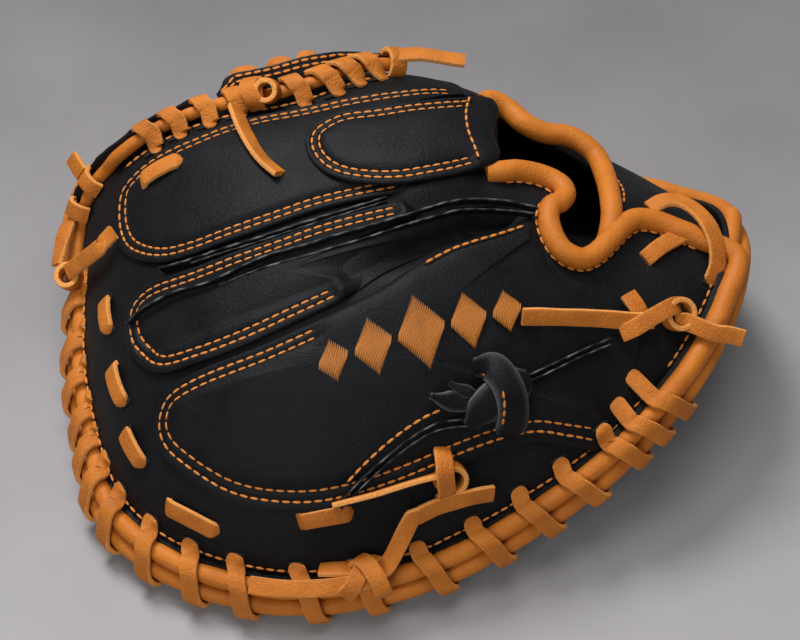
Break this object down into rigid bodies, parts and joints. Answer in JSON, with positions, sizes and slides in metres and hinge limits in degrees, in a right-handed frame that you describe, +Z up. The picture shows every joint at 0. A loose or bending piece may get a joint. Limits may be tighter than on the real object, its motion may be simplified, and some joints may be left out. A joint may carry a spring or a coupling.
{
  "type": "catcher's mitt",
  "caption": "Catcher's mitt lying palm down: padded leather back over a hand cavity, thick palm pad with a ball pocket, and leather rolls and laces round the rim.",
  "frame": {"origin": "middle of the mitt's outline on the surface that it lies on", "axes": "+X from the fingertips to the heel, +Y towards the thumb and web side, +Z up, away from the palm"},
  "size_m": [0.3017, 0.2543, 0.1181],
  "materials": {
    "black_leather": "smooth black leather with a soft sheen",
    "tan_roll": "smooth tan leather roll",
    "tan_lace": "tan rawhide lace"
  },
  "bodies": {
    "root": {"back_roll": "tan_roll", "back_shell": "black_leather", "edge_lace_01": "tan_lace", "edge_lace_02": "tan_lace", "edge_lace_03": "tan_lace", "edge_lace_04": "tan_lace", "edge_lace_05": "tan_lace", "edge_lace_06": "tan_lace", "edge_lace_07": "tan_lace", "edge_lace_08": "tan_lace", "edge_lace_09": "tan_lace", "edge_lace_10": "tan_lace", "edge_lace_11": "tan_lace", "edge_lace_12": "tan_lace", "edge_lace_13": "tan_lace", "edge_lace_14": "tan_lace", "edge_lace_15": "tan_lace", "edge_lace_16": "tan_lace", "edge_lace_17": "tan_lace", "edge_lace_18": "tan_lace", "edge_lace_19": "tan_lace", "finger_panel_lower": "black_leather", "finger_panel_middle": "black_leather", "finger_panel_upper": "black_leather", "heel_lace_arc": "tan_lace", "heel_lace_straight": "tan_lace", "index_pad": "black_leather", "knot_bottom": "tan_lace", "knot_heel": "tan_lace", "knot_left_lower": "tan_lace", "knot_left_upper": "tan_lace", "knot_near": "tan_lace", "knot_top": "tan_lace", "knot_web": "tan_lace", "palm_pad": "black_leather", "palm_roll": "tan_roll", "running_lace_01": "tan_lace", "running_lace_02": "tan_lace", "running_lace_03": "tan_lace", "running_lace_04": "tan_lace", "running_lace_05": "tan_lace", "running_lace_06": "tan_lace", "seam_welt_middle": "black_leather", "seam_welt_upper": "black_leather", "strap_knot": "black_leather", "thumb_roll": "tan_roll", "top_lace_01": "tan_lace", "top_lace_02": "tan_lace", "top_lace_03": "tan_lace", "top_lace_04": "tan_lace", "top_lace_05": "tan_lace", "top_lace_06": "tan_lace", "top_lace_07": "tan_lace", "top_lace_08": "tan_lace", "web_panel": "black_leather", "wrist_roll_far": "tan_roll", "wrist_roll_near": "tan_roll"}
  },
  "joints": []
}
